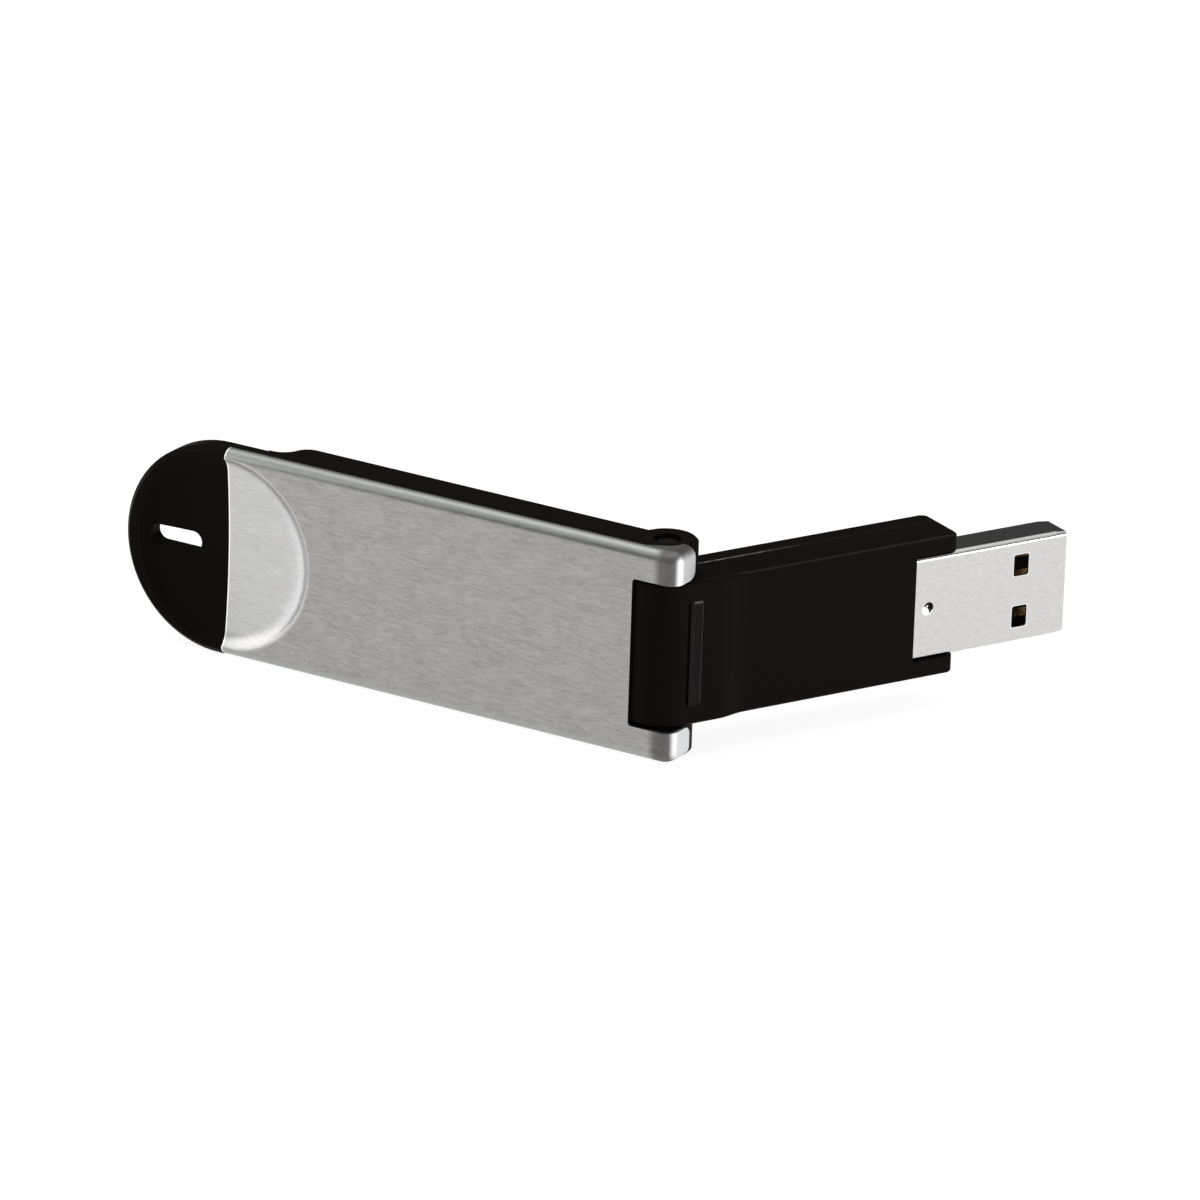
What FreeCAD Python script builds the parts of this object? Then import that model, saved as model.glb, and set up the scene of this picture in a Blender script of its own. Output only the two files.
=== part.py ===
import FreeCAD, Part
import math
import os

# A folding USB flash drive. A long cover carries a brushed steel face plate and a
# keyring nose; a short arm with the standard plug swings on a pin at its other end.
#
# Frame, in millimetres: the origin is on the hinge axis, at the bottom of the lower
# hinge lug, where the drive stands on its long edge. +X runs along the cover towards
# its hinge end, +Y away from the steel face and +Z up, along the hinge pin.
# The arm is drawn straight, along +X, and then turned about the hinge axis.

# ---- Cover: overall form -------------------------------------------------------
cover_height = 24.1          # between the two long edges
face_offset = 4.45           # hinge axis to the outside of the steel face
nose_reach = 66.95           # hinge axis to the tip of the round nose
strip_back = 1.25            # hinge axis to the back of the thin part of the cover
nose_recess = 0.1            # the black nose lies this far under the steel face
nose_bevel = 0.6             # bevel round the nose's front
nose_rear_bevel = 0.5        # and round its back
seam_offset = 2.3            # hinge axis to the seam between frame and rear shell

# ---- Face plate ----------------------------------------------------------------
plate_thickness = 0.4
plate_reach = 53.95          # hinge axis to the plate's straight cut end
edge_roll = 1.2              # outside radius of the rolled long edges
flange_depth = 1.35          # from the steel face to the back of the rolled edges
wrap_radius = 1.6            # outside radius where the plate wraps the hinge end
wrap_stop = 0.5              # the wrapped end stops this far in front of the axis
flange_cut_radius = 2.35     # round cut in the flanges about the hinge pin
flange_cut_lead = 1.0        # the round cut's lead-in starts this far before the axis
flange_cut_angle = 70.0      # degrees below +X where the lead-in meets the round cut
notch_back = 1.6             # hinge axis to the closed end of the notch for the arm
notch_half = 8.45            # half the notch's height
notch_corner = 0.4
lug_corner = 1.0             # rounding of the free corners beside the notch
dish_radius = 10.85          # the thumb dish, where its wall meets the lip
dish_floor_radius = 100.0    # the dish's floor is almost flat
dish_wall_radius = 2.8       # and curves up into its wall
dish_wall_slope = 40.0       # degrees, where the wall meets the lip
dish_lip = 1.0               # rounding of the dish's lip
adhesive_thickness = 0.1
adhesive_margin = 1.5        # from the adhesive sheet's edge to the plate's features
plate_fit = 0.05             # clearance between the plate and the mouldings

# ---- Keyring slot --------------------------------------------------------------
slot_length = 6.6
slot_width = 2.3
slot_start = 57.6            # hinge axis to the slot's near end
slot_bevel = 0.2

# ---- Rear shell: rails, plug recess and hinge lugs ----------------------------
rail_back_far = 1.75         # back of the rails behind the axis, at the nose end
rail_back_near = 1.35        # and at the hinge end
rail_ramp_start = 49.6       # hinge axis to the foot of the rails' ramp
rail_ramp_length = 4.0
rail_bevel = 0.25
recess_end_gap = 0.3         # the rear shell runs past the closed plug's tip by this
knuckle_radius = 3.4
pocket_side_gap = 0.3        # each side of the arm in its pocket
pocket_end_gap = 0.3
pocket_floor_gap = 0.25      # under the closed arm
barrel_gap = 0.2             # round the arm's barrel
tab_length = 1.6             # locating tabs between the two mouldings
tab_width = 1.0
tab_depth = 1.0
tab_fit = 0.05
tab_count = 3
tab_first = 12.0             # hinge axis to the nearest tab
tab_pitch = 15.0

# ---- Hinge ---------------------------------------------------------------------
pin_radius = 0.9
pin_running_gap = 0.05
pin_floor = 0.9              # plastic left under the pin's blind hole
pin_head_radius = 1.4
pin_head_height = 0.8
pin_head_recess = 0.4
pin_head_bevel = 0.2
counterbore_radius = 1.56
washer_radius = 2.1
washer_thickness = 0.25
rest_angle = 62.0            # degrees that the arm stands folded from straight

# ---- Arm housing ---------------------------------------------------------------
arm_height = 16.2
arm_length = 35.2            # hinge axis to the housing's end
arm_front = 3.72             # hinge axis to the housing's front face
arm_rear = 3.3               # hinge axis to the housing's rear face
arm_seam = 0.95              # hinge axis to the seam between the two shells
barrel_radius = 4.3
barrel_flat = 4.5            # flat stretch of the barrel's front, from the axis
barrel_blend = 4.0           # length of the step down to the front face
arm_wall = 0.9
arm_bevel = 0.2
arm_end_corner = 1.0         # rear corner of the housing's end
arm_bar_corner = 0.8         # front corner of the bars beside the plug
barrel_corner = 0.6
boss_radius = 2.2            # bearing bosses for the pin
boss_height = 2.4
boss_fit = 0.05
seam_groove = 0.12

# ---- Light guide ---------------------------------------------------------------
window_start = 0.3           # hinge axis to the slit's near side
window_width = 2.0
window_length = 12.2
window_recess = 0.08
guide_fit = 0.02
guide_flange = 0.7
guide_flange_thickness = 0.6
guide_stem_width = 2.0
guide_stem_end = 7.8
guide_led_gap = 0.15

# ---- Plug (USB series A) -------------------------------------------------------
plug_width = 12.0
plug_thickness = 4.5
plug_wall = 0.3
plug_corner = 0.6
plug_tip = 49.6              # hinge axis to the plug's tip
plug_root = 29.8             # hinge axis to the back of the plug's shell
plug_seat_gap = 0.05         # between the plug and the rear shell
plug_side_gap = 0.1
plug_taper = 0.15            # the tip is narrower by this much on each side
plug_taper_length = 1.3
window_from_tip = 5.0
window_run = 1.95
window_rise = 2.5
window_corner = 0.25
window_centre = 3.0
dimple_from_root = 1.85
dimple_radius = 0.65
dimple_depth = 0.16
leg_length = 2.9
leg_height = 1.4
insulator_fit = 0.05
insulator_block = 6.2
tongue_thickness = 1.84
tongue_tip_gap = 0.7
contact_width = 1.0
contact_thickness = 0.15
contact_proud = 0.08
contact_inner = 1.0          # plug's middle to the inner contacts' middles
contact_outer = 3.5
contact_inner_start = 2.2    # tongue's tip to the inner contacts' ends
contact_outer_start = 1.2
contact_tail = 2.4

# ---- Circuit board and what is soldered to it ---------------------------------
board_thickness = 0.8
board_front = 1.0            # hinge axis to the board's front face
board_start = 5.2
board_end_gap = 0.2
board_side_gap = 0.2
post_side = 1.2
post_proud = 0.6
post_shoulder_side = 2.0
post_fit = 0.05
post_from_edge = 1.5
chip_standoff = 0.1
lead_width = 0.22
lead_thickness = 0.12
lead_foot = 0.3              # flat end of a lead on the board
flash_length = 18.4
flash_width = 12.0
flash_height = 1.0
flash_lead = 0.75
flash_lead_pitch = 0.5
flash_lead_margin = 0.14     # package corner to the first lead's middle, at least
flash_start = 8.6
controller_side = 7.0
controller_height = 1.2
controller_lead = 0.9
controller_lead_pitch = 0.8
controller_lead_margin = 0.6
controller_centre = 16.2
crystal_length = 5.0
crystal_width = 3.2
crystal_height = 1.1
crystal_corner = 0.5
crystal_centre = 23.6
crystal_offset = 3.6
regulator_length = 2.9
regulator_width = 1.3
regulator_height = 1.0
regulator_lead = 0.5
regulator_lead_width = 0.44
regulator_lead_pitch = 1.9
regulator_centre = 25.2
regulator_offset = -2.2
passive_length = 1.6
passive_width = 0.8
capacitor_height = 0.8
capacitor_count = 4
capacitor_pitch = 3.2
capacitor_centre = 14.6
capacitor_from_edge = 0.8
resistor_height = 0.45
resistor_count = 4
resistor_pitch = 1.6
resistor_centre = 10.1
led_height = 0.6
led_centre = 6.9

# ---- Values worked out from the ones above ------------------------------------
mid = cover_height / 2.0
arm_half = arm_height / 2.0
pocket_half = arm_half + pocket_side_gap
pocket_floor = -(arm_rear + pocket_floor_gap)
pocket_end = -(arm_length + pocket_end_gap)
shell_end = -(plug_tip + recess_end_gap)
frame_front = -(face_offset - plate_thickness - adhesive_thickness)
wrap_x = knuckle_radius + plate_fit + plate_thickness
flange_back = -(face_offset - flange_depth)
nose_centre_x = -(nose_reach - mid)
dish_slope = math.radians(dish_wall_slope)
dish_turn = math.asin((dish_radius - dish_wall_radius * math.sin(dish_slope))
                      / (dish_floor_radius - dish_wall_radius))
dish_depth = (dish_floor_radius * (1.0 - math.cos(dish_turn)) + dish_lip * (1.0 - math.cos(dish_slope))
              + dish_wall_radius * (math.cos(dish_turn) - math.cos(dish_slope)))
plug_rear = arm_seam - plug_seat_gap
plug_front = plug_rear - plug_thickness
tongue_front = plug_rear - plug_wall - insulator_fit - tongue_thickness
board_rear = -board_front + board_thickness
board_end = plug_root - board_end_gap
board_half = arm_half - arm_wall - board_side_gap
reach = 200.0                # longer than the whole drive, for cutting tools
UP = FreeCAD.Vector(0, 0, 1)


def vec(x, y, z=0.0):
    return FreeCAD.Vector(x, y, z)


def block(x0, x1, y0, y1, z0, z1):
    return Part.makeBox(x1 - x0, y1 - y0, z1 - z0, vec(x0, y0, z0))


def upright(radius, z0, z1, x=0.0, y=0.0):
    return Part.makeCylinder(radius, z1 - z0, vec(x, y, z0), UP)


def across(radius, y0, y1, x, z):
    return Part.makeCylinder(radius, y1 - y0, vec(x, y0, z), vec(0, 1, 0))


def stud(length, width, y0, y1, x, z):
    """Square-edged stud along Y, centred on x and z."""
    return block(x - length / 2.0, x + length / 2.0, y0, y1, z - width / 2.0, z + width / 2.0)


def prism(edges, vector):
    return Part.Face(Part.Wire(edges)).extrude(vector)


def chain(points):
    return [Part.makeLine(a, b) for a, b in zip(points, points[1:])]


def arc(a, through, b):
    return Part.Arc(a, through, b).toShape()


def step_curve(start, end):
    """Two equal tangent arcs that leave and arrive along X."""
    run, rise = end.x - start.x, end.y - start.y
    radius = (run ** 2 + rise ** 2) / (4.0 * abs(rise))
    middle = (start + end) * 0.5
    sweep = math.asin(abs(run) / 2.0 / radius) / 2.0
    way = math.copysign(1.0, run)
    lift = math.copysign(radius * (1.0 - math.cos(sweep)), rise)
    side = way * radius * math.sin(sweep)
    first = arc(start, start + vec(side, lift), middle)
    second = arc(middle, end - vec(side, lift), end)
    return [first, second]


def fillet_where(shape, radius, test):
    """Round the edges whose middle and ends pass the test."""
    picked = [edge for edge in shape.Edges if test(edge)]
    return shape.makeFillet(radius, picked)


def bevel_where(shape, size, test):
    """Bevel the edges that pass the test."""
    picked = [edge for edge in shape.Edges if test(edge)]
    return shape.makeChamfer(size, picked)


def upright_at(x, y):
    """A test for the edge that runs along Z at a place."""
    def test(edge):
        point, box = edge.CenterOfMass, edge.BoundBox
        straight = box.XLength + box.YLength < 1e-6
        return straight and abs(point.x - x) + abs(point.y - y) < 1e-5
    return test


def level_at(edge, *heights):
    """True for an edge that lies wholly at one of the heights."""
    box = edge.BoundBox
    return any(abs(box.ZMin - h) + abs(box.ZMax - h) < 1e-5 for h in heights)


def mirrored(shape):
    return shape.mirror(vec(0, 0, mid), UP)


def both_halves(shape):
    """The shape and its mirror image across the drive's middle height."""
    return shape.fuse(mirrored(shape))


def even_row(count, pitch):
    """Offsets of an even row about its middle."""
    return [(i - (count - 1) / 2.0) * pitch for i in range(count)]


# ---- Cover ---------------------------------------------------------------------
def tray_block(inset, back, soften=fillet_where):
    """Solid behind the steel face, inset on all its curved sides."""
    right = wrap_x - inset
    front = -face_offset + inset
    low, high = inset, cover_height - inset
    solid = block(-reach, right, front, back, low, high)
    solid = fillet_where(solid, wrap_radius - inset, upright_at(right, front))

    def rolled(edge):
        box = edge.BoundBox
        at_side = box.YMax < front + 1e-5 or box.XMin > right - wrap_radius - 1e-5
        return level_at(edge, low, high) and at_side and box.YMin < back - 1e-5

    return soften(solid, edge_roll - inset, rolled)


def flange_trim(gap):
    """Everything behind the rolled flanges and round the hinge pin."""
    cut_radius = flange_cut_radius - gap
    back, stop = flange_back + gap, -wrap_stop + gap
    angle = math.radians(flange_cut_angle)
    meet = vec(cut_radius * math.cos(angle), -cut_radius * math.sin(angle))
    last = math.asin(-stop / cut_radius)
    half = (angle + last) / 2.0
    through = vec(cut_radius * math.cos(half), -cut_radius * math.sin(half))
    leave = vec(cut_radius * math.cos(last), stop)
    before = chain([vec(-reach, reach), vec(-reach, back), vec(-flange_cut_lead, back), meet])
    after = chain([leave, vec(reach, stop), vec(reach, reach), vec(-reach, reach)])
    edges = before + [arc(meet, through, leave)] + after
    return prism(edges, vec(0, 0, 3 * reach)).translate(vec(0, 0, -reach))


def notch_tool():
    """The opening in the plate that the arm swings through."""
    tool = block(-notch_back, reach, -reach, reach, mid - notch_half, mid + notch_half)

    def inner(edge):
        box = edge.BoundBox
        return box.XMax < 0 and box.YLength > reach and box.ZLength < 1e-6

    return fillet_where(tool, notch_corner, inner)


def polar(centre, radius, angle):
    """The point at a radius from a centre, at an angle from +Y."""
    return centre + vec(math.sin(angle), math.cos(angle)) * radius


def polar_arc(centre, radius, start, end):
    angles = (start, (start + end) / 2.0, end)
    return arc(*[polar(centre, radius, angle) for angle in angles])


def dish_centres():
    """Middles of the arcs that shape the dish's floor and its wall."""
    floor = vec(0, -face_offset + dish_depth - dish_floor_radius)
    return floor, polar(floor, dish_floor_radius - dish_wall_radius, dish_turn)


def dish_turned(edges):
    """A closed outline turned about the dish's middle."""
    solid = Part.Face(Part.Wire(edges)).revolve(vec(0, 0, 0), vec(0, 1, 0), 360)
    return solid.translate(vec(-plate_reach, 0, mid))


def dish_floor(grown, front):
    """The domed floor as the end of a plug that reaches forward to a level."""
    radius = dish_floor_radius + grown
    ball = Part.makeSphere(radius, dish_centres()[0] + vec(-plate_reach, 0, mid))
    return ball.common(across(radius * math.sin(dish_turn), front, 0, -plate_reach, mid))


def dish_tool():
    """What the dish takes out of the face: floor, wall and a soft lip round its rim."""
    floor, wall = dish_centres()
    lip = polar(wall, dish_wall_radius + dish_lip, dish_slope)
    foot = polar(floor, dish_floor_radius, dish_turn)
    front = -face_offset - dish_lip
    edges = [polar_arc(wall, dish_wall_radius, dish_turn, dish_slope),
             polar_arc(lip, -dish_lip, dish_slope, 0)]
    edges += chain([lip - vec(0, dish_lip), vec(lip.x, front), vec(0, front), vec(0, foot.y), foot])
    return dish_turned(edges).fuse(dish_floor(0.0, front))


def dish_block(grown, bottom, front):
    """Flat-bottomed block with the slope of the dish's wall, set back by an amount."""
    meet = polar(dish_centres()[1], dish_wall_radius + grown, dish_slope)
    lower, upper = [vec(meet.x + (meet.y - level) / math.tan(dish_slope), level)
                    for level in (bottom, front)]
    return dish_turned(chain([vec(0, bottom), lower, upper, vec(0, front), vec(0, bottom)]))


def dish_room(grown, domed):
    """The back of the pressed dish, or a plain pocket that clears it."""
    front = -face_offset + plate_thickness / 2.0
    inside = block(-reach, 0, front, 0, plate_thickness, cover_height - plate_thickness)
    if domed:
        rim = polar(dish_centres()[0], dish_floor_radius + grown, dish_turn)
        solid = dish_block(grown, rim.y, front).fuse(dish_floor(grown, front))
    else:
        solid = dish_block(grown, -face_offset + dish_depth + grown, front)
    return solid.common(inside)


def beyond_cut(gap=0.0):
    """Everything past the plate's straight cut end."""
    return block(-2 * reach, -plate_reach - gap, -reach, reach, -reach, reach)


def plate_room():
    """The room that the mouldings leave for the plate, open outwards."""
    inset = plate_thickness + plate_fit
    room = block(-reach, reach, -reach, 0, -reach, reach).cut(flange_trim(plate_fit))
    room = room.cut(tray_block(inset, 1.0, bevel_where))
    return room.fuse(dish_room(inset, False)).cut(beyond_cut(plate_fit))


def face_plate():
    plate = tray_block(0.0, 0.0).cut(tray_block(plate_thickness, 1.0)).cut(flange_trim(0.0))
    plate = plate.fuse(dish_room(plate_thickness, True)).cut(dish_tool())
    plate = plate.cut(beyond_cut()).cut(notch_tool()).removeSplitter()

    def free_corner(edge):
        point, box = edge.CenterOfMass, edge.BoundBox
        beside = abs(abs(point.z - mid) - notch_half) < 1e-5
        return beside and abs(point.y + wrap_stop) < 1e-5 and box.XLength > plate_thickness / 2.0

    return fillet_where(plate, lug_corner, free_corner)


def plate_adhesive():
    back = frame_front - adhesive_thickness
    right = -notch_back - adhesive_margin
    low = edge_roll + adhesive_margin / 2.0
    sheet = block(-plate_reach, right, back, frame_front, low, cover_height - low)
    clear = across(dish_radius + adhesive_margin, -reach, reach, -plate_reach, mid)
    return sheet.cut(clear)


def nose_outline(left_flat):
    """The round nose seen from the front, closed at a given X."""
    top, bottom = vec(nose_centre_x, 0, cover_height), vec(nose_centre_x, 0, 0)
    tip = vec(-nose_reach, 0, mid)
    corners = [bottom, vec(left_flat, 0, 0), vec(left_flat, 0, cover_height), top]
    return [arc(top, tip, bottom)] + chain(corners)


def cover_blank(front, back):
    """A plate of the cover's full outline, from nose to hinge axis."""
    solid = prism(nose_outline(0.0), vec(0, back - front, 0)).translate(vec(0, front, 0))

    def rim(level):
        def test(edge):
            box = edge.BoundBox
            flat = abs(box.YMin - level) + abs(box.YMax - level) < 1e-5
            return flat and box.XMin < -plate_reach / 2.0
        return test

    return bevel_where(bevel_where(solid, nose_bevel, rim(front)), nose_rear_bevel, rim(back))


def keyring_slot_tool():
    half = slot_width / 2.0
    near, far = -slot_start - half, -slot_start - slot_length + half
    middle = block(far, near, -reach, reach, mid - half, mid + half)
    ends = [across(half, -reach, reach, x, mid) for x in (near, far)]
    return middle.multiFuse(ends).removeSplitter()


def slot_rim(edge):
    """True for the edges round the slot's two openings."""
    box = edge.BoundBox
    beside = box.XMax < -slot_start + 1e-5 and box.XMin > -slot_start - slot_length - 1e-5
    level = box.YLength < dish_depth / 2.0
    return beside and level and max(abs(box.ZMin - mid), abs(box.ZMax - mid)) < slot_width / 2.0 + 1e-5


def knuckle_block(front):
    """Full-height block round the hinge, flat in front and round behind."""
    solid = upright(knuckle_radius, 0, cover_height)
    return solid.fuse(block(-knuckle_radius, knuckle_radius, front, 0, 0, cover_height))


def locating_tabs(grown=0.0):
    """Tabs of the rear shell that stand in slots of the frame, or those slots."""
    rail_middle = (pocket_half + mid) / 2.0
    end = -seam_offset - tab_depth - grown
    xs = [-(tab_first + tab_pitch * i) for i in range(tab_count)]
    return [stud(tab_length + 2 * grown, tab_width + 2 * grown, end, -seam_offset, x, z)
            for x in xs for z in (mid - rail_middle, mid + rail_middle)]


def front_frame():
    nose = cover_blank(-face_offset + nose_recess, -strip_back)
    nose = nose.cut(block(-plate_reach - plate_fit, reach, -reach, frame_front, -reach, reach))
    lug = knuckle_block(frame_front).common(block(-reach, reach, -reach, -seam_offset, 0, reach))
    body = nose.fuse(lug)
    body = body.cut(block(shell_end, reach, -seam_offset, reach, -reach, reach))
    low, high = mid - pocket_half, mid + pocket_half
    pocket = block(pocket_end, reach, pocket_floor, reach, low, high)
    swing = upright(barrel_radius + barrel_gap, low, high)
    beyond = block(0, reach, -reach, reach, low, high)
    body = body.cut(pocket.fuse(swing).fuse(beyond)).cut(plate_room()).cut(dish_tool())
    body = body.cut(Part.makeCompound(locating_tabs(tab_fit))).cut(keyring_slot_tool())
    return bevel_where(body.removeSplitter(), slot_bevel, slot_rim)


def rail_profile():
    """Plan of the rear shell: plug recess, ramp, tapering rail and knuckle."""
    foot = vec(-rail_ramp_start, -strip_back)
    crest = vec(-rail_ramp_start + rail_ramp_length, rail_back_far)
    angle = math.asin(rail_back_near / knuckle_radius)
    meet = vec(-knuckle_radius * math.cos(angle), rail_back_near)
    start = [vec(shell_end, -seam_offset), vec(shell_end, -strip_back), foot]
    close = [vec(knuckle_radius, 0), vec(knuckle_radius, -seam_offset), vec(shell_end, -seam_offset)]
    rounded = arc(meet, vec(0, knuckle_radius), vec(knuckle_radius, 0))
    return chain(start) + step_curve(foot, crest) + chain([crest, meet]) + [rounded] + chain(close)


def rear_shell():
    solid = prism(rail_profile(), vec(0, 0, cover_height))

    def outer_rim(edge):
        return level_at(edge, 0, cover_height) and edge.BoundBox.YMax > -strip_back + 1e-5

    solid = bevel_where(solid, rail_bevel, outer_rim)
    low, high = mid - pocket_half, mid + pocket_half
    solid = solid.cut(block(shell_end - 1, reach, -strip_back, reach, low, high))
    solid = solid.cut(block(pocket_end, reach, -reach, reach, low, high))
    solid = solid.cut(plate_room())
    solid = solid.cut(upright(pin_radius, pin_floor, cover_height))
    head_floor = cover_height - pin_head_recess - pin_head_height
    solid = solid.cut(upright(counterbore_radius, head_floor, cover_height))
    return solid.multiFuse(locating_tabs()).removeSplitter()


# ---- Hinge ---------------------------------------------------------------------
def hinge_pin():
    """Turned pin with a flat head, drawn as one revolve."""
    top = cover_height - pin_head_recess
    under = top - pin_head_height
    outline = [(0, pin_floor), (pin_radius, pin_floor), (pin_radius, under), (pin_head_radius, under),
               (pin_head_radius, top - pin_head_bevel), (pin_head_radius - pin_head_bevel, top),
               (0, top), (0, pin_floor)]
    edges = chain([vec(radius, 0, z) for radius, z in outline])
    return Part.Face(Part.Wire(edges)).revolve(vec(0, 0, 0), UP, 360)


def washer(upper):
    """Friction washer that lies against a lug's inner face."""
    if upper:
        high = mid + pocket_half
        low = high - washer_thickness
    else:
        low = mid - pocket_half
        high = low + washer_thickness
    hole = upright(pin_radius + pin_running_gap, low, high)
    return upright(washer_radius, low, high).cut(hole)


# ---- Arm housing, drawn straight ------------------------------------------------
def arm_profile(inset, length):
    """Plan of the arm: round barrel, step down to the front face, square end."""
    radius = barrel_radius - inset
    front, rear = -(arm_front - inset), arm_rear - inset
    flat = vec(barrel_flat, -radius)
    settled = vec(barrel_flat + barrel_blend, front)
    meet = vec(-math.sqrt(radius ** 2 - rear ** 2), rear)
    start = vec(0, -radius)
    edges = chain([start, flat]) + step_curve(flat, settled)
    edges += chain([settled, vec(length, front), vec(length, rear), meet])
    return edges + [arc(meet, vec(-radius, 0), start)]


def arm_block():
    solid = prism(arm_profile(0.0, arm_length), vec(0, 0, arm_height))
    solid = solid.translate(vec(0, 0, mid - arm_half))
    barrel_meet = -math.sqrt(barrel_radius ** 2 - arm_rear ** 2)
    solid = fillet_where(solid, barrel_corner, upright_at(barrel_meet, arm_rear))
    solid = fillet_where(solid, arm_end_corner, upright_at(arm_length, arm_rear))
    solid = fillet_where(solid, arm_bar_corner, upright_at(arm_length, -arm_front))
    return bevel_where(solid, arm_bevel, lambda e: level_at(e, mid - arm_half, mid + arm_half))


def arm_cavity():
    half = arm_half - arm_wall
    solid = prism(arm_profile(arm_wall, plug_root), vec(0, 0, 2 * half))
    return solid.translate(vec(0, 0, mid - half))


def plug_bay():
    """Room for the plug, open to the front and past the housing's end."""
    half = plug_width / 2.0 + plug_side_gap
    return block(plug_root, reach, -reach, arm_seam, mid - half, mid + half)


def bosses(radius, extra=0.0):
    low = upright(radius, mid - arm_half, mid - arm_half + boss_height + extra)
    return both_halves(low)


def bore():
    return upright(pin_radius + pin_running_gap, -1, cover_height + 1)


def groove_tool():
    """Thin ring round the seam that leaves a fine joint line."""
    half = seam_groove / 2.0
    low, high = mid - arm_half, mid + arm_half
    left = -math.sqrt(barrel_radius ** 2 - arm_seam ** 2)
    ring = block(-reach, reach, arm_seam - half, arm_seam + half, -reach, reach)
    core = block(left + half, arm_length - half, -reach, reach, low + half, high - half)
    return ring.cut(core)


def window_tool(grow, front, back):
    half = window_length / 2.0 + grow
    start, end = window_start - grow, window_start + window_width + grow
    tool = block(start, end, front, back, mid - half, mid + half)
    return fillet_where(tool, window_width / 4.0, lambda e: e.BoundBox.YLength > 0.1)


def arm_front_shell():
    solid = arm_block().cut(block(-reach, reach, arm_seam, reach, -reach, reach))
    solid = solid.cut(arm_cavity()).cut(plug_bay()).cut(groove_tool())
    solid = solid.fuse(bosses(boss_radius)).cut(bore())
    return solid.cut(window_tool(0.0, -reach, -boss_radius)).removeSplitter()


def post_places():
    offset = board_half - post_from_edge
    return [(board_start + post_from_edge, mid + side * offset) for side in (-1, 1)]


def arm_rear_shell():
    solid = arm_block().cut(block(-reach, reach, -reach, arm_seam, -reach, reach))
    solid = solid.cut(arm_cavity()).cut(groove_tool())
    solid = solid.cut(bosses(boss_radius + boss_fit, boss_fit))
    inner_floor = arm_rear - arm_wall
    shoulders = [stud(post_shoulder_side, post_shoulder_side, board_rear, inner_floor, x, z)
                 for x, z in post_places()]
    posts = [stud(post_side, post_side, -board_front - post_proud, inner_floor, x, z)
             for x, z in post_places()]
    return solid.multiFuse(shoulders + posts).removeSplitter()


def light_guide():
    """Smoked window, its inner flange and the stem that picks up the light."""
    face = -barrel_radius + window_recess
    inner = -(barrel_radius - arm_wall)
    back = inner + guide_flange_thickness
    solid = window_tool(-guide_fit, face, inner)
    half = window_length / 2.0 + guide_flange / 2.0
    edge = window_start + window_width + guide_flange
    solid = solid.fuse(block(guide_fit, edge, inner, back, mid - half, mid + half))
    stem = guide_stem_width / 2.0
    stem_front = -(arm_front - arm_wall) + guide_fit
    stem_back = stem_front + guide_flange_thickness
    led_top = -board_front - led_height - guide_led_gap
    solid = solid.fuse(block(edge - guide_flange, guide_stem_end, stem_front, stem_back,
                             mid - stem, mid + stem))
    foot = block(led_centre - stem / 2.0, guide_stem_end, stem_front, led_top,
                 mid - stem, mid + stem)
    return solid.fuse(foot).removeSplitter()


# ---- Circuit board --------------------------------------------------------------
def circuit_board():
    solid = block(board_start, board_end, -board_front, board_rear, mid - board_half, mid + board_half)
    hole_side = post_side + 2 * post_fit
    holes = [stud(hole_side, hole_side, -reach, reach, x, z) for x, z in post_places()]
    return solid.cut(Part.makeCompound(holes))


def on_front(x, z, length, width, height, gap=0.0):
    """A component's body on the board's front face, centred on x and z."""
    top = -board_front - gap
    return stud(length, width, top - height, top, x, z)


def gull_lead(start, length, waist):
    """One lead that leaves a package along +X and comes down to its flat foot."""
    tip, half = start + length, lead_thickness / 2.0
    corners = [(start, waist + half), (tip, lead_thickness), (tip, 0), (tip - lead_foot, 0),
               (start, waist - half), (start, waist + half)]
    lead = prism(chain([vec(x, -height) for x, height in corners]), vec(0, 0, lead_width))
    return lead.translate(vec(0, 0, -lead_width / 2.0))


def package(length, width, height, lead_length, lead_pitch, lead_margin, quarters):
    """A leaded chip that stands on the plane y = 0 and faces -Y, about the origin."""
    body = stud(length, width, -chip_standoff - height, -chip_standoff, 0, 0)
    leads = []
    for quarter in quarters:
        run, side = (width, length) if quarter % 2 else (length, width)
        count = int((side - 2 * lead_margin) / lead_pitch) + 1
        for offset in even_row(count, lead_pitch):
            lead = gull_lead(run / 2.0, lead_length, chip_standoff + height / 2.0)
            lead = lead.translate(vec(0, 0, offset))
            leads.append(lead.rotate(vec(0, 0, 0), vec(0, 1, 0), 90 * quarter))
    return body.multiFuse(leads)


def flash_chip():
    """Thin flash memory package on the back of the board, leads at both ends."""
    chip = package(flash_length, flash_width, flash_height, flash_lead, flash_lead_pitch,
                   flash_lead_margin, (0, 2))
    chip = chip.rotate(vec(0, 0, 0), vec(1, 0, 0), 180)
    return chip.translate(vec(flash_start + flash_length / 2.0, board_rear, mid))


def controller_chip():
    """Square controller with leads on its four sides."""
    chip = package(controller_side, controller_side, controller_height, controller_lead,
                   controller_lead_pitch, controller_lead_margin, range(4))
    return chip.translate(vec(controller_centre, -board_front, mid))


def crystal():
    can = on_front(crystal_centre, mid + crystal_offset, crystal_length, crystal_width, crystal_height)
    return fillet_where(can, crystal_corner, lambda e: e.BoundBox.YLength > 0.1)


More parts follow.
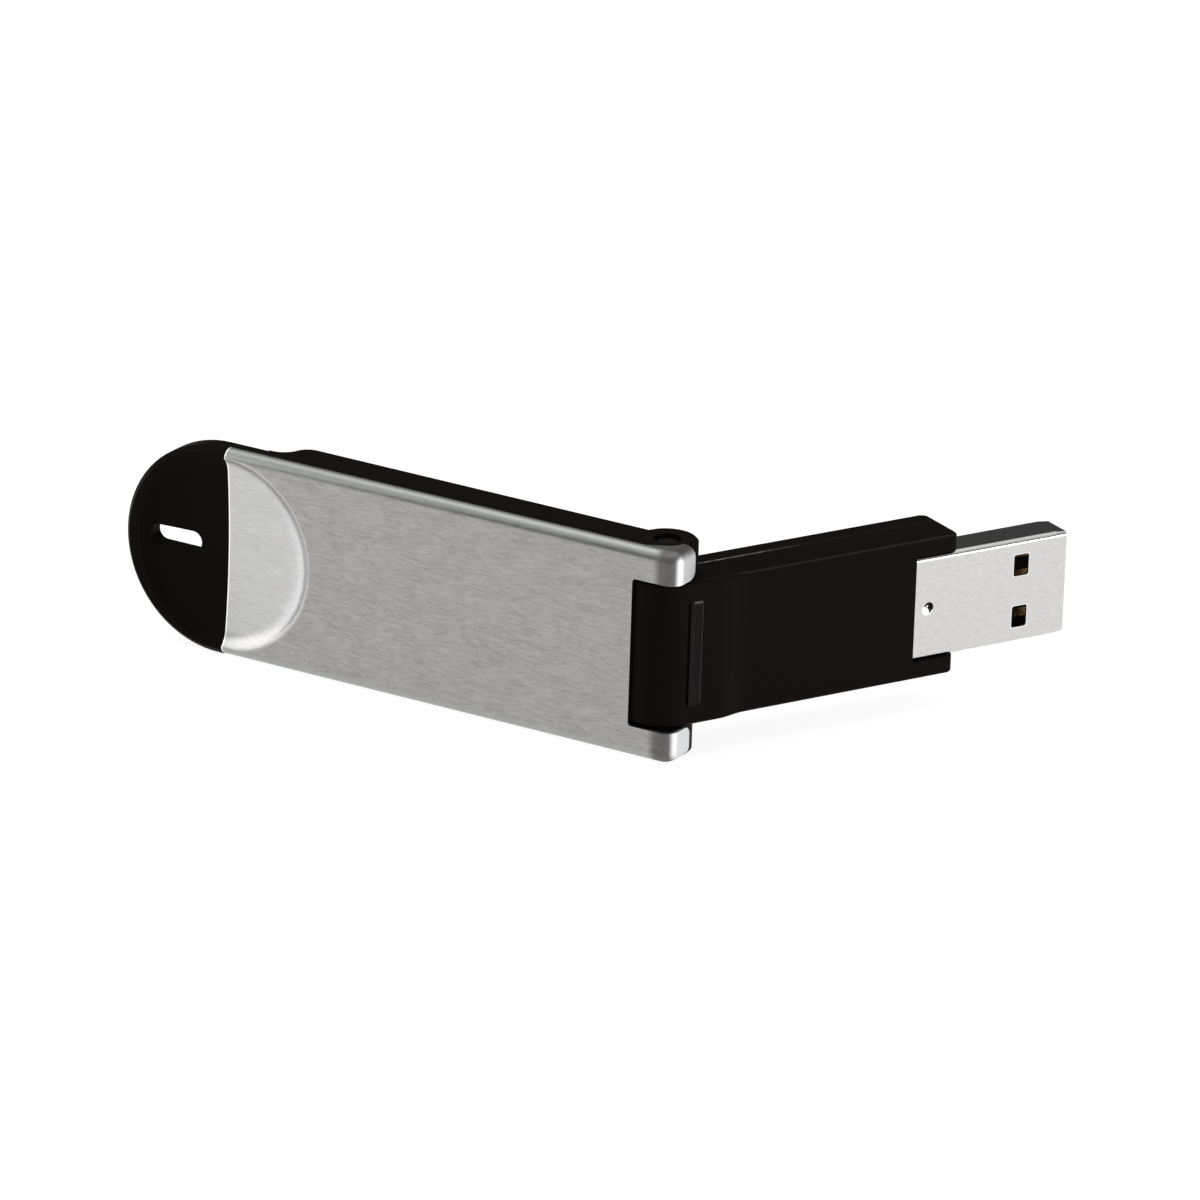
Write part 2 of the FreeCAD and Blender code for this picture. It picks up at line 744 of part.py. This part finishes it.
def voltage_regulator():
    z = mid + regulator_offset
    body = on_front(regulator_centre, z, regulator_length, regulator_width, regulator_height,
                    chip_standoff)
    out = (regulator_width + regulator_lead) / 2.0
    half_pitch = regulator_lead_pitch / 2.0
    leads = [on_front(regulator_centre + x, z + side * out, regulator_lead_width, regulator_lead,
                      chip_standoff + regulator_height / 2.0)
             for x, side in ((-half_pitch, -1), (half_pitch, -1), (0, 1))]
    return body.multiFuse(leads)


def capacitors():
    """Decoupling capacitors in a row beside the controller."""
    z = mid - board_half + capacitor_from_edge
    return Part.makeCompound([
        on_front(capacitor_centre + x, z, passive_length, passive_width, capacitor_height)
        for x in even_row(capacitor_count, capacitor_pitch)])


def resistors():
    """Resistors between the board's end and the controller."""
    return Part.makeCompound([
        on_front(resistor_centre, mid + z, passive_length, passive_width, resistor_height)
        for z in even_row(resistor_count, resistor_pitch)])


def activity_led():
    return on_front(led_centre, mid, passive_width, passive_length, led_height)


# ---- Plug -----------------------------------------------------------------------
def plug_tube(inset, start, end):
    half_w, front, rear = plug_width / 2.0 - inset, plug_front + inset, plug_rear - inset
    tube = block(start, end, front, rear, mid - half_w, mid + half_w)
    return fillet_where(tube, plug_corner - inset, lambda e: e.BoundBox.XLength > 1)


def plug_windows():
    near = plug_tip - window_from_tip
    hole = stud(window_run, window_rise, -reach, reach, near - window_run / 2.0, mid + window_centre)
    return both_halves(fillet_where(hole, window_corner, lambda e: e.BoundBox.YLength > reach))


def plug_shell():
    tube = plug_tube(0.0, plug_root, plug_tip)
    tip = [edge for edge in tube.Edges if edge.BoundBox.XMin > plug_tip - 1e-5]
    tube = tube.makeChamfer(plug_taper_length, plug_taper, tip)
    tube = tube.cut(plug_tube(plug_wall, plug_root - 1, plug_tip + 1)).cut(plug_windows())
    ball = (dimple_radius ** 2 + dimple_depth ** 2) / (2.0 * dimple_depth)
    centre = vec(plug_root + dimple_from_root, plug_front + dimple_depth - ball, mid)
    tube = tube.cut(Part.makeSphere(ball, centre))
    side = plug_width / 2.0
    leg = block(plug_root - leg_length, plug_root + plug_wall, -board_front - leg_height, -board_front,
                mid + side - plug_wall, mid + side)
    return tube.fuse(both_halves(leg)).removeSplitter()


def contact(offset, tip_gap):
    """One contact: blade on the tongue, then a bend down to the board."""
    end = plug_tip - tongue_tip_gap - tip_gap
    bend = plug_root - board_end_gap / 2.0
    outer = tongue_front - contact_proud
    pad = -board_front
    t = contact_thickness
    tail = bend - contact_tail
    profile = [vec(end, outer), vec(end, outer + t), vec(bend, outer + t), vec(bend, pad),
               vec(tail, pad), vec(tail, pad - t), vec(bend - t, pad - t), vec(bend - t, outer),
               vec(end, outer)]
    solid = prism(chain(profile), vec(0, 0, contact_width))
    return solid.translate(vec(0, 0, mid + offset - contact_width / 2.0))


def plug_contacts():
    inner = [contact(side * contact_inner, contact_inner_start) for side in (-1, 1)]
    outer = [contact(side * contact_outer, contact_outer_start) for side in (-1, 1)]
    return Part.makeCompound(inner + outer)


def plug_tongue():
    inset = plug_wall + insulator_fit
    solid = plug_tube(inset, plug_root, plug_root + insulator_block)
    half = plug_width / 2.0 - inset
    tongue = block(plug_root, plug_tip - tongue_tip_gap, tongue_front, plug_rear - inset,
                   mid - half + plug_corner / 2.0, mid + half - plug_corner / 2.0)
    return solid.fuse(tongue).cut(plug_contacts()).removeSplitter()


# ---- Files ----------------------------------------------------------------------
COVER = {
    "face_plate": face_plate,
    "plate_adhesive": plate_adhesive,
    "front_frame": front_frame,
    "rear_shell": rear_shell,
    "hinge_pin": hinge_pin,
    "upper_washer": lambda: washer(True),
    "lower_washer": lambda: washer(False),
}

ARM = {
    "arm_front_shell": arm_front_shell,
    "arm_rear_shell": arm_rear_shell,
    "light_guide": light_guide,
    "circuit_board": circuit_board,
    "flash_chip": flash_chip,
    "controller_chip": controller_chip,
    "crystal": crystal,
    "voltage_regulator": voltage_regulator,
    "capacitors": capacitors,
    "resistors": resistors,
    "activity_led": activity_led,
    "plug_shell": plug_shell,
    "plug_tongue": plug_tongue,
    "plug_contacts": plug_contacts,
}


def main():
    os.makedirs("parts", exist_ok=True)
    for name, make in COVER.items():
        make().exportStep(os.path.join("parts", name + ".step"))
    for name, make in ARM.items():
        shape = make()
        shape.rotate(vec(0, 0, 0), UP, rest_angle)
        shape.exportStep(os.path.join("parts", name + ".step"))


main()
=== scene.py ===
import math

import bpy
from mathutils import Matrix, Vector


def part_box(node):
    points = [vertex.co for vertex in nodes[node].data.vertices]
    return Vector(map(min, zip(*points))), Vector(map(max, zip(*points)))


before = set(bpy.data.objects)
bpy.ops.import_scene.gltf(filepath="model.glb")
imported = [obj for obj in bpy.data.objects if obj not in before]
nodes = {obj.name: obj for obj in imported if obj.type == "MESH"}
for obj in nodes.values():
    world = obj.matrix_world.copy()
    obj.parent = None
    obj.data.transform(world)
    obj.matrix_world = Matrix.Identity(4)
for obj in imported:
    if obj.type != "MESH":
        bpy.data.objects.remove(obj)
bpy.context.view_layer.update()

MM = 0.001

# ---- Camera, in the part's frame ---------------------------------------------------
camera_azimuth = math.radians(30.41)
camera_elevation = math.radians(20.61)
camera_roll = math.radians(1.83)
camera_lens = 259.4
camera_sensor = 36.0
camera_clip = (0.01, 10.0)
camera_aim = Vector((0.25, 0.0, 12.05)) * MM
camera_offset = Vector((-7.087, 4.712, 930.7)) * MM    # image right, image up, backwards


def add_camera():
    azimuth, elevation = camera_azimuth, camera_elevation
    level = Vector((math.cos(azimuth), math.sin(azimuth), 0.0))
    back = Vector((math.sin(azimuth) * math.cos(elevation),
                   -math.cos(azimuth) * math.cos(elevation), math.sin(elevation)))
    upward = back.cross(level)
    right = level * math.cos(camera_roll) + upward * math.sin(camera_roll)
    up = upward * math.cos(camera_roll) - level * math.sin(camera_roll)
    axes = Matrix((right, up, back)).transposed()
    data = bpy.data.cameras.new("camera")
    data.lens = camera_lens
    data.sensor_width = camera_sensor
    data.clip_start, data.clip_end = camera_clip
    camera = bpy.data.objects.new("camera", data)
    bpy.context.scene.collection.objects.link(camera)
    camera.matrix_world = Matrix.Translation(camera_aim + axes @ camera_offset) @ axes.to_4x4()
    bpy.context.scene.camera = camera


# ---- Studio ------------------------------------------------------------------------
wall_top = math.radians(26)         # the studio's walls are dim up to here
ceiling_edge = math.radians(50)     # and its ceiling is bright from here
wall_glow = 0.05                    # what metal and gloss see of the walls
ceiling_glow = 0.85                 # and of the ceiling
fill_glow = 0.7                     # what lights the surfaces from all around
floor_half = 2.0
floor_grey = 0.22                   # the share of the floor's white that takes the shadow
floor_lift = 0.87                   # the share that is always there


def seen_by(tree, *rays):
    """1 for the named kinds of ray, 0 for all others."""
    path = tree.nodes.new("ShaderNodeLightPath")
    total = path.outputs[f"Is {rays[0]} Ray"]
    for ray in rays[1:]:
        either = tree.nodes.new("ShaderNodeMath")
        either.operation = "MAXIMUM"
        tree.links.new(total, either.inputs[0])
        tree.links.new(path.outputs[f"Is {ray} Ray"], either.inputs[1])
        total = either.outputs[0]
    return total


def add_world():
    """White where it is seen. Metal and gloss see a room with dim walls and a bright ceiling."""
    world = bpy.data.worlds.new("studio")
    world.use_nodes = True
    bpy.context.scene.world = world
    tree = world.node_tree
    tree.nodes.clear()
    direction = tree.nodes.new("ShaderNodeTexCoord").outputs["Generated"]
    split = tree.nodes.new("ShaderNodeSeparateXYZ")
    tree.links.new(direction, split.inputs["Vector"])
    room = tree.nodes.new("ShaderNodeMapRange")
    room.interpolation_type = "SMOOTHSTEP"
    room.inputs["From Min"].default_value = math.sin(wall_top)
    room.inputs["From Max"].default_value = math.sin(ceiling_edge)
    room.inputs["To Min"].default_value = wall_glow
    room.inputs["To Max"].default_value = ceiling_glow
    tree.links.new(split.outputs["Z"], room.inputs["Value"])
    reflected = tree.nodes.new("ShaderNodeMix")
    tree.links.new(seen_by(tree, "Glossy"), reflected.inputs["Factor"])
    reflected.inputs["A"].default_value = fill_glow
    tree.links.new(room.outputs["Result"], reflected.inputs["B"])
    strength = tree.nodes.new("ShaderNodeMix")
    tree.links.new(seen_by(tree, "Camera", "Transmission"), strength.inputs["Factor"])
    tree.links.new(reflected.outputs[0], strength.inputs["A"])
    strength.inputs["B"].default_value = 1.0
    background = tree.nodes.new("ShaderNodeBackground")
    background.inputs["Color"].default_value = (1.0, 1.0, 1.0, 1.0)
    tree.links.new(strength.outputs[0], background.inputs["Strength"])
    output = tree.nodes.new("ShaderNodeOutputWorld")
    tree.links.new(background.outputs[0], output.inputs["Surface"])


def add_floor():
    """Plain white floor. It is lifted to white where it is seen, and keeps the shadow."""
    half = floor_half
    mesh = bpy.data.meshes.new("floor")
    corners = [(-half, -half, 0), (half, -half, 0), (half, half, 0), (-half, half, 0)]
    mesh.from_pydata(corners, [], [(0, 1, 2, 3)])
    floor = bpy.data.objects.new("floor", mesh)
    bpy.context.scene.collection.objects.link(floor)
    material = bpy.data.materials.new("floor")
    material.use_nodes = True
    tree = material.node_tree
    tree.nodes.clear()
    diffuse = tree.nodes.new("ShaderNodeBsdfDiffuse")
    diffuse.inputs["Color"].default_value = (floor_grey, floor_grey, floor_grey, 1.0)
    lift = tree.nodes.new("ShaderNodeEmission")
    amount = tree.nodes.new("ShaderNodeMath")
    amount.operation = "MULTIPLY"
    amount.inputs[1].default_value = floor_lift
    tree.links.new(seen_by(tree, "Camera", "Glossy", "Transmission"), amount.inputs[0])
    tree.links.new(amount.outputs[0], lift.inputs["Strength"])
    both = tree.nodes.new("ShaderNodeAddShader")
    tree.links.new(diffuse.outputs[0], both.inputs[0])
    tree.links.new(lift.outputs[0], both.inputs[1])
    output = tree.nodes.new("ShaderNodeOutputMaterial")
    tree.links.new(both.outputs[0], output.inputs["Surface"])
    mesh.materials.append(material)


def add_lamp(name, place, target, size, power):
    """Soft area lamp, with its place and size in millimetres."""
    data = bpy.data.lights.new(name, "AREA")
    data.shape = "RECTANGLE"
    data.size, data.size_y = size[0] * MM, size[1] * MM
    data.energy = power
    lamp = bpy.data.objects.new(name, data)
    bpy.context.scene.collection.objects.link(lamp)
    lamp.location = Vector(place) * MM
    aim = (Vector(target) - Vector(place)).normalized()
    lamp.rotation_mode = "QUATERNION"
    lamp.rotation_quaternion = aim.to_track_quat("-Z", "Y")


def add_lamps():
    middle = (-20, 0, 12)
    add_lamp("key", (-60, 60, 480), middle, (500, 400), 0.6)
    add_lamp("left_card", (-312, -160, 118), middle, (280, 230), 0.38)
    add_lamp("right_card", (300, 10, 48), middle, (340, 94), 0.55)


# ---- Materials ---------------------------------------------------------------------
along_x = (1.0, 0.0, 0.0)
along_z = (0.0, 0.0, 1.0)
in_face = (1.0, 0.0, 1.0)           # distances measured in the plane of a front face
noise_low, noise_high = 0.3, 0.7    # range that most of a noise falls in


class Finish:
    """A procedural material on one Principled shader, in an object's own coordinates.

    A mask is a socket that is 1 in some place and 0 elsewhere. Colours are linear.
    """

    def __init__(self, name, roughness, metallic=0.0, specular=0.5, turn=0.0):
        self.material = bpy.data.materials.new(name)
        self.material.use_nodes = True
        self.tree = self.material.node_tree
        self.shader = self.tree.nodes["Principled BSDF"]
        self.shader.inputs["Metallic"].default_value = metallic
        self.shader.inputs["Roughness"].default_value = roughness
        self.shader.inputs["Specular IOR Level"].default_value = specular
        coordinates = self.tree.nodes.new("ShaderNodeTexCoord")
        turned = self.tree.nodes.new("ShaderNodeMapping")
        turned.inputs["Rotation"].default_value = (0.0, 0.0, turn)
        self.link(coordinates.outputs["Object"], turned.inputs["Vector"])
        self.place = turned.outputs["Vector"]

    def link(self, source, target):
        self.tree.links.new(source, target)

    def feed(self, value, target):
        """Give an input a value, which is a socket or a constant."""
        if isinstance(value, bpy.types.NodeSocket):
            self.link(value, target)
        else:
            target.default_value = value

    def vector(self, operation, first, second=None):
        """A vector maths node on a socket and three constants."""
        node = self.tree.nodes.new("ShaderNodeVectorMath")
        node.operation = operation
        self.link(first, node.inputs[0])
        if second is not None:
            node.inputs[1].default_value = second
        return node

    def noise(self, sizes, detail=3.0, rough=0.6):
        """Noise whose grain has the given lengths in millimetres along x, y and z."""
        stretch = self.vector("MULTIPLY", self.place, [1.0 / (size * MM) for size in sizes])
        noise = self.tree.nodes.new("ShaderNodeTexNoise")
        noise.inputs["Scale"].default_value = 1.0
        noise.inputs["Detail"].default_value = detail
        noise.inputs["Roughness"].default_value = rough
        self.link(stretch.outputs[0], noise.inputs["Vector"])
        return noise.outputs["Fac"]

    def blend(self, noise, low, high):
        """Colour that goes from one to another with a noise."""
        ramp = self.tree.nodes.new("ShaderNodeValToRGB")
        first, last = ramp.color_ramp.elements
        first.position, last.position = noise_low, noise_high
        first.color, last.color = (*low, 1.0), (*high, 1.0)
        self.link(noise, ramp.inputs["Fac"])
        return ramp.outputs["Color"]

    def colour(self, colour):
        self.link(colour, self.shader.inputs["Base Color"])

    def roughness(self, noise, low, high):
        """Roughness that goes from one value to another with a noise."""
        spread = self.tree.nodes.new("ShaderNodeMapRange")
        spread.inputs["From Min"].default_value = noise_low
        spread.inputs["From Max"].default_value = noise_high
        spread.inputs["To Min"].default_value = low
        spread.inputs["To Max"].default_value = high
        self.link(noise, spread.inputs["Value"])
        self.link(spread.outputs["Result"], self.shader.inputs["Roughness"])

    def bump(self, noise, height):
        """Relief of the given height in millimetres."""
        bump = self.tree.nodes.new("ShaderNodeBump")
        bump.inputs["Strength"].default_value = 1.0
        bump.inputs["Distance"].default_value = height * MM
        self.link(noise, bump.inputs["Height"])
        self.link(bump.outputs["Normal"], self.shader.inputs["Normal"])

    def near(self, centre, axes, inner, outer):
        """Mask about a place in millimetres. It fades between two distances along the axes."""
        offset = self.vector("SUBTRACT", self.place, [value * MM for value in centre])
        masked = self.vector("MULTIPLY", offset.outputs[0], axes)
        length = self.vector("LENGTH", masked.outputs[0])
        inside = self.tree.nodes.new("ShaderNodeMapRange")
        inside.interpolation_type = "SMOOTHSTEP"
        inside.inputs["From Min"].default_value = inner * MM
        inside.inputs["From Max"].default_value = outer * MM
        inside.inputs["To Min"].default_value = 1.0
        inside.inputs["To Max"].default_value = 0.0
        self.link(length.outputs["Value"], inside.inputs["Value"])
        return inside.outputs["Result"]

    def band(self, axis, start, end, soft=0.04):
        """Mask between two places in millimetres along one axis (0, 1 or 2)."""
        axes = [float(index == axis) for index in range(3)]
        centre = [value * (start + end) / 2.0 for value in axes]
        half = (end - start) / 2.0
        return self.near(centre, axes, half - soft, half)

    def maths(self, operation, first, second):
        node = self.tree.nodes.new("ShaderNodeMath")
        node.operation = operation
        self.feed(first, node.inputs[0])
        self.feed(second, node.inputs[1])
        return node.outputs[0]

    def both(self, first, *others):
        """Mask of where all masks are. A number among them weakens it."""
        for other in others:
            first = self.maths("MULTIPLY", first, other)
        return first

    def either(self, first, second):
        return self.maths("MAXIMUM", first, second)

    def but(self, mask):
        """The reverse of a mask."""
        return self.maths("SUBTRACT", 1.0, mask)

    def mix(self, factor, first, second):
        """Blend two values, each a socket or a constant."""
        node = self.tree.nodes.new("ShaderNodeMix")
        for value, name in ((factor, "Factor"), (first, "A"), (second, "B")):
            self.feed(value, node.inputs[name])
        return node.outputs[0]

    def layer(self, under, mask, over):
        """Lay a colour, a socket or three constants, over another one within a mask."""
        node = self.tree.nodes.new("ShaderNodeMix")
        node.data_type = "RGBA"
        factor, colour_a, colour_b = node.inputs[0], node.inputs[6], node.inputs[7]
        self.link(mask, factor)
        self.link(under, colour_a)
        self.feed((*over, 1.0) if isinstance(over, tuple) else over, colour_b)
        return node.outputs[2]

    def brushed(self, amount, across):
        """Spread the gloss along one direction, which lies across the grain."""
        self.shader.inputs["Anisotropic"].default_value = amount
        direction = self.tree.nodes.new("ShaderNodeCombineXYZ")
        for axis, value in zip("XYZ", across):
            direction.inputs[axis].default_value = value
        self.link(direction.outputs["Vector"], self.shader.inputs["Tangent"])

    def wear(self, *names):
        """Put the material on CAD nodes."""
        for name in names:
            nodes[name].data.materials.clear()
            nodes[name].data.materials.append(self.material)


# Places on the plate, in millimetres. A pair is where a mask starts to fade, and its end.
dish_radius = 10.85                 # the thumb dish, about the middle of the plate's cut end
dish_edge = (dish_radius, dish_radius + 0.12)
dish_lip = (dish_radius + 0.35, dish_radius + 0.75)    # painted highlight where it turns towards the lamps
dish_flat = (dish_radius - 2.6, dish_radius - 0.4)     # inside the steep rim
rim_height = (3.0, 7.5)             # painted reflection, brightest at the middle of the plate's height
cut_edge = (0.14, 0.182)            # painted highlight along the cut, partly burnished metal
bend_shade = (1.9, 3.1)             # painted shade, from the wrapped end
bend_end = (0.05, 0.55)
roll_start, roll_full = 1.2, 0.8    # painted reflection tone on the rolls, from the long edges


def dress_plate():
    """Brushed steel. Painted reflection makes the pressed dish lighter and the rolls a darker
    green-grey, painted highlights lie on the dish's lip and rim, along the cut (partly
    burnished) and at the wrapped end, and painted shade lies where it bends to the hinge.
    """
    steel = Finish("brushed_steel", 0.3, metallic=1.0)
    steel.brushed(0.5, along_z)
    fine = steel.noise((1.2, 0.15, 0.15), detail=2.0, rough=0.7)
    cloud = steel.noise((3.0, 1.0, 1.0), detail=2.0)
    grain = steel.mix(0.25, fine, cloud)
    low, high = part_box("face_plate")
    middle = (low[0] / MM, 0.0, (low[2] + high[2]) / 2.0 / MM)
    bend = (high[0] / MM, 0.0, 0.0)
    half = (high[2] - low[2]) / 2.0 / MM
    in_dish = steel.near(middle, in_face, *dish_edge)
    lip = steel.near(middle, in_face, *dish_lip)
    steep = steel.but(steel.near(middle, in_face, *dish_flat))
    rim = steel.both(in_dish, steep, steel.near(middle, along_z, *rim_height))
    at_cut = steel.near(middle, along_x, *cut_edge)
    at_bend = steel.near(bend, along_x, *bend_shade)
    at_end = steel.near(bend, along_x, *bend_end)
    at_roll = steel.but(steel.near(middle, along_z, half - roll_start, half - roll_full))
    face = steel.blend(grain, (0.275, 0.264, 0.254), (0.445, 0.43, 0.418))
    # painted reflection: the dish and its lip are coloured lighter
    painted_dish_reflection = steel.blend(grain, (0.46, 0.456, 0.452), (0.61, 0.607, 0.602))
    # painted reflection tone on the rolls by the long edges
    painted_roll_reflection = steel.blend(grain, (0.325, 0.34, 0.322), (0.39, 0.41, 0.39))
    # painted shade where the plate bends towards the hinge
    painted_shade = steel.blend(grain, (0.13, 0.126, 0.123), (0.2, 0.195, 0.191))
    # painted highlight, laid on the dish rim and on the wrapped end
    bright = steel.blend(grain, (0.72, 0.727, 0.735), (0.8, 0.807, 0.815))
    colour = steel.layer(face, steel.both(lip, 0.6), painted_dish_reflection)
    colour = steel.layer(colour, in_dish, painted_dish_reflection)
    # painted reflection on the steep rim of the dish
    colour = steel.layer(colour, steel.both(rim, 0.6), bright)
    colour = steel.layer(colour, at_roll, painted_roll_reflection)
    colour = steel.layer(colour, at_bend, painted_shade)
    # painted highlight at the wrapped end
    colour = steel.layer(colour, at_end, bright)
    # painted highlight along the cut, partly burnished metal
    steel.colour(steel.layer(colour, at_cut, (0.95, 0.96, 0.98)))
    spread = steel.mix(at_bend, steel.mix(grain, 0.24, 0.4), 0.5)
    steel.link(spread, steel.shader.inputs["Roughness"])
    steel.bump(grain, 0.0022)
    steel.wear("face_plate")


# Places on the arm, in millimetres, as it lies straight along x from the hinge axis.
arm_angle = math.radians(62.0)      # how far it is turned at rest
arm_middle = 12.05
arm_top = 20.15
arm_front = 3.72
arm_seam = 0.95                     # between the two shells
arm_edge = 0.2                      # the top edges' bevel
seam_half = 0.14                    # half the width of the painted highlight along the seam
window_near = 0.3
window_far = 2.3
window_top = 18.15
latch_along = 43.625                # middle of the plug's latch windows
latch_rise = 3.0                    # and its distance from the arm's middle
latch_half = (0.975, 1.25)
# width of the painted highlight about each latch window
latch_rim = 0.1
dimple_along = 31.65


def moulding(name, turn=0.0):
    """Fine matt black plastic, and its colour."""
    black = Finish(name, 0.5, specular=0.03, turn=turn)
    mottle = black.noise((0.12, 0.12, 0.12))
    black.roughness(mottle, 0.44, 0.58)
    black.bump(mottle, 0.003)
    return black, black.blend(mottle, (0.0036, 0.0022, 0.0018), (0.0062, 0.0040, 0.0034))


def dress_mouldings():
    """Black. The arm's seam has a broken painted highlight on top, which dies away from the
    hinge, and the top front bevel a slight painted highlight.
    """
    black, colour = moulding("black_moulding")
    black.colour(colour)
    black.wear("front_frame", "rear_shell")

    black, colour = moulding("arm_moulding", turn=-arm_angle)
    broken = black.noise((0.6, 0.4, 0.4), detail=4.0)
    # painted highlight along the seam, strong by the hinge and weaker beyond
    painted_seam_highlight = black.blend(broken, (0.004, 0.003, 0.0025), (0.4, 0.37, 0.33))
    faint_seam_highlight = black.blend(broken, (0.003, 0.002, 0.002), (0.03, 0.027, 0.024))
    by_hinge = black.near((5.0, 0.0, 0.0), along_x, 4.0, 14.0)
    on_top = black.band(2, arm_top - arm_edge, arm_top + 0.1)
    seam = black.both(black.band(1, arm_seam - seam_half, arm_seam + seam_half), on_top)
    # painted highlight along the top front bevel
    painted_edge_highlight = black.both(black.band(1, -arm_front, -arm_front + arm_edge), on_top)
    colour = black.layer(colour, seam, black.layer(faint_seam_highlight, by_hinge, painted_seam_highlight))
    black.colour(black.layer(colour, painted_edge_highlight, (0.018, 0.015, 0.013)))
    black.wear("arm_front_shell", "arm_rear_shell")


def dress_window():
    """Smoked, nearly black. The near side is in shade, and the far and top edges are lit."""
    smoke = Finish("smoked_window", 0.2, specular=0.08, turn=-arm_angle)
    streaks = smoke.noise((0.5, 0.5, 6.0), detail=2.0)
    colour = smoke.blend(streaks, (0.0035, 0.003, 0.0028), (0.0095, 0.008, 0.0075))
    shade = smoke.band(0, window_near - 0.2, window_near + 0.5, 0.15)
    glint = smoke.band(0, window_far - 0.17, window_far + 0.1)
    cap = smoke.both(smoke.band(2, window_top - 0.38, window_top - 0.1),
                     smoke.band(0, window_far - 1.3, window_far, 0.2))
    colour = smoke.layer(colour, shade, (0.0008, 0.0006, 0.0005))
    colour = smoke.layer(colour, glint, (0.034, 0.031, 0.03))
    smoke.colour(smoke.layer(colour, cap, (0.1, 0.095, 0.095)))
    smoke.link(smoke.mix(shade, 0.08, 0.01), smoke.shader.inputs["Specular IOR Level"])
    smoke.roughness(streaks, 0.16, 0.26)
    smoke.wear("light_guide")


def latch_mask(finish, height):
    """Mask of one latch window and its rim."""
    half_x, half_z = latch_half[0] + latch_rim, latch_half[1] + latch_rim
    return finish.both(finish.band(0, latch_along - half_x, latch_along + half_x),
                       finish.band(2, height - half_z, height + half_z))


def dress_plug():
    """Nickel plate, with painted highlights about the latch windows. The dimple has a painted
    highlight below and painted shade above.
    """
    nickel = Finish("plug_nickel", 0.22, metallic=1.0, turn=-arm_angle)
    grain = nickel.noise((0.9, 0.3, 0.3), detail=3.0)
    colour = nickel.blend(grain, (0.575, 0.567, 0.56), (0.65, 0.642, 0.634))
    # painted highlight about the latch windows
    painted_latch_highlight = nickel.either(latch_mask(nickel, arm_middle + latch_rise),
                             latch_mask(nickel, arm_middle - latch_rise))
    colour = nickel.layer(colour, painted_latch_highlight, (0.86, 0.85, 0.84))

    def spot(x, z, inner, outer):
        """Round mask at an offset from the dimple's middle."""
        return nickel.near((dimple_along + x, 0.0, arm_middle + z), in_face, inner, outer)

    hollow = spot(0.0, 0.0, 0.58, 0.66)
    fold = spot(-0.45, -0.36, 0.42, 0.5)
    hook = spot(-0.1, 0.12, 0.08, 0.15)
    # painted highlight on the lower side of the dimple
    colour = nickel.layer(colour, spot(-0.2, -0.22, 0.62, 0.74), (0.95, 0.94, 0.93))
    # painted shade on the upper side of the dimple, shaped like a hook
    painted_shade = nickel.both(hollow, nickel.but(fold), nickel.but(hook))
    nickel.colour(nickel.layer(colour, painted_shade, (0.012, 0.009, 0.007)))
    nickel.roughness(grain, 0.14, 0.19)
    nickel.bump(grain, 0.0005)
    nickel.wear("plug_shell")


def plain_finish(name, node_names, low, high, roughness, metallic=0.0, specular=0.5):
    """One finely mottled colour, for a small part."""
    finish = Finish(name, roughness, metallic=metallic, specular=specular)
    mottle = finish.noise((0.3, 0.3, 0.3))
    finish.colour(finish.blend(mottle, low, high))
    finish.roughness(mottle, roughness * 0.85, roughness * 1.15)
    finish.bump(mottle, 0.002)
    finish.wear(*node_names)


def dress_small_parts():
    plain_finish("adhesive", ["plate_adhesive"], (0.55, 0.5, 0.4), (0.65, 0.6, 0.5), 0.6)
    plain_finish("pin_steel", ["hinge_pin"],
                 (0.022, 0.02, 0.018), (0.04, 0.038, 0.035), 0.35, metallic=1.0)
    plain_finish("washer_nylon", ["lower_washer", "upper_washer"],
                 (0.7, 0.69, 0.64), (0.78, 0.77, 0.72), 0.5)
    plain_finish("board", ["circuit_board"], (0.01, 0.09, 0.03), (0.015, 0.13, 0.045), 0.4)
    plain_finish("chip_black", ["flash_chip", "controller_chip", "voltage_regulator"],
                 (0.012, 0.012, 0.013), (0.02, 0.02, 0.022), 0.55)
    plain_finish("crystal_can", ["crystal"],
                 (0.6, 0.6, 0.6), (0.72, 0.72, 0.72), 0.25, metallic=1.0)
    plain_finish("capacitor_tan", ["capacitors"], (0.35, 0.24, 0.14), (0.45, 0.32, 0.2), 0.5)
    plain_finish("resistor_black", ["resistors"], (0.01, 0.01, 0.01), (0.03, 0.03, 0.03), 0.4)
    plain_finish("led_clear", ["activity_led"], (0.7, 0.72, 0.7), (0.82, 0.84, 0.82), 0.2)
    plain_finish("insulator", ["plug_tongue"],
                 (0.004, 0.003, 0.003), (0.008, 0.006, 0.005), 0.6, specular=0.1)
    plain_finish("contact_gold", ["plug_contacts"],
                 (0.6, 0.36, 0.16), (0.7, 0.44, 0.22), 0.25, metallic=1.0)


bpy.context.scene.view_settings.view_transform = "Standard"
add_camera()
add_world()
add_floor()
add_lamps()
dress_plate()
dress_mouldings()
dress_window()
dress_plug()
dress_small_parts()
